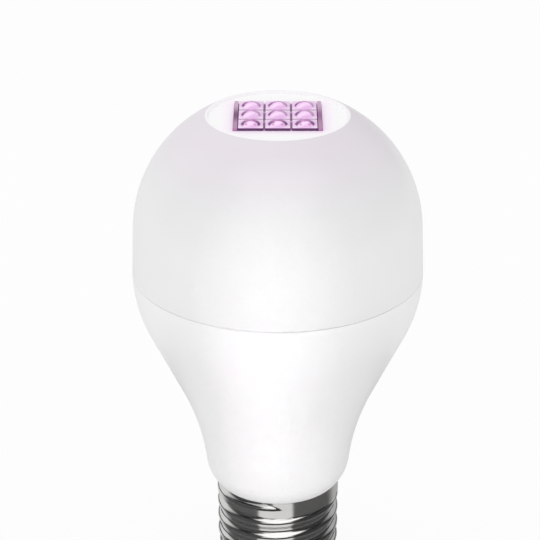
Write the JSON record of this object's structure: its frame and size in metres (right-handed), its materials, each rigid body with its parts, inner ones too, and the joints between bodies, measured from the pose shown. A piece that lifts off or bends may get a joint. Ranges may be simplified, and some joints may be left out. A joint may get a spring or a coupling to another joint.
{
  "type": "uv-c sterilization bulb",
  "caption": "Pear-shaped LED lamp with a screw cap, a white housing, an opal dome and a UV-C diode module on its flat top.",
  "frame": {"origin": "tip of the centre contact, on the lamp's axis", "axes": "+Z along the lamp's axis from the cap to the UV module, +X along the module's columns' row, to the right as the lamp is seen from -Y"},
  "size_m": [0.0596, 0.0596, 0.1079],
  "materials": {
    "nickel_plate": "bright nickel plate on rolled sheet",
    "contact_metal": "nickel-plated brass, lightly dulled",
    "cap_glass": "glossy black cap glass",
    "white_housing": "smooth white moulding, satin gloss",
    "opal_dome": "opal diffuser plastic, satin",
    "disc_white": "bright matte white",
    "violet_tray": "glossy dark violet",
    "violet_board": "violet solder mask on metal core",
    "diode_package": "pale pink-lilac ceramic",
    "diode_window": "clear window with a lilac glow",
    "aluminium": "plain drawn aluminium",
    "white_board": "white solder mask on metal core",
    "white_diode": "yellow phosphor gel",
    "screw_steel": "zinc-plated steel",
    "green_board": "green solder mask",
    "black_sleeve": "black shrink sleeve and moulding compound",
    "ferrite": "dark ferrite with varnished winding",
    "film_red": "dipped red resin",
    "fuse_blue": "blue-grey lacquer",
    "wire_red": "red insulation",
    "wire_black": "black insulation",
    "wire_white": "white insulation"
  },
  "bodies": {
    "root": {"screw_shell": "nickel_plate", "cap_insulator": "cap_glass", "centre_contact": "contact_metal", "housing": "white_housing", "dome": "opal_dome", "top_disc": "disc_white", "uv_tray": "violet_tray", "uv_board": "violet_board", "heat_sink": "aluminium", "uv_post": "aluminium", "main_board": "white_board", "white_leds": "white_diode", "board_screws": "screw_steel", "driver_board": "green_board", "input_capacitor": "black_sleeve", "output_capacitor": "black_sleeve", "choke": "ferrite", "film_capacitor": "film_red", "driver_chip": "black_sleeve", "bridge_rectifier": "black_sleeve", "fuse_resistor": "fuse_blue", "live_wire": "wire_red", "neutral_wire": "wire_white", "led_wire_red": "wire_red", "led_wire_black": "wire_black", "uv_wire_red": "wire_red", "uv_wire_black": "wire_black", "uv_led_1": "diode_package", "uv_lens_1": "diode_window", "uv_led_2": "diode_package", "uv_lens_2": "diode_window", "uv_led_3": "diode_package", "uv_lens_3": "diode_window", "uv_led_4": "diode_package", "uv_lens_4": "diode_window", "uv_led_5": "diode_package", "uv_lens_5": "diode_window", "uv_led_6": "diode_package", "uv_lens_6": "diode_window", "uv_led_7": "diode_package", "uv_lens_7": "diode_window", "uv_led_8": "diode_package", "uv_lens_8": "diode_window", "uv_led_9": "diode_package", "uv_lens_9": "diode_window"}
  },
  "joints": []
}
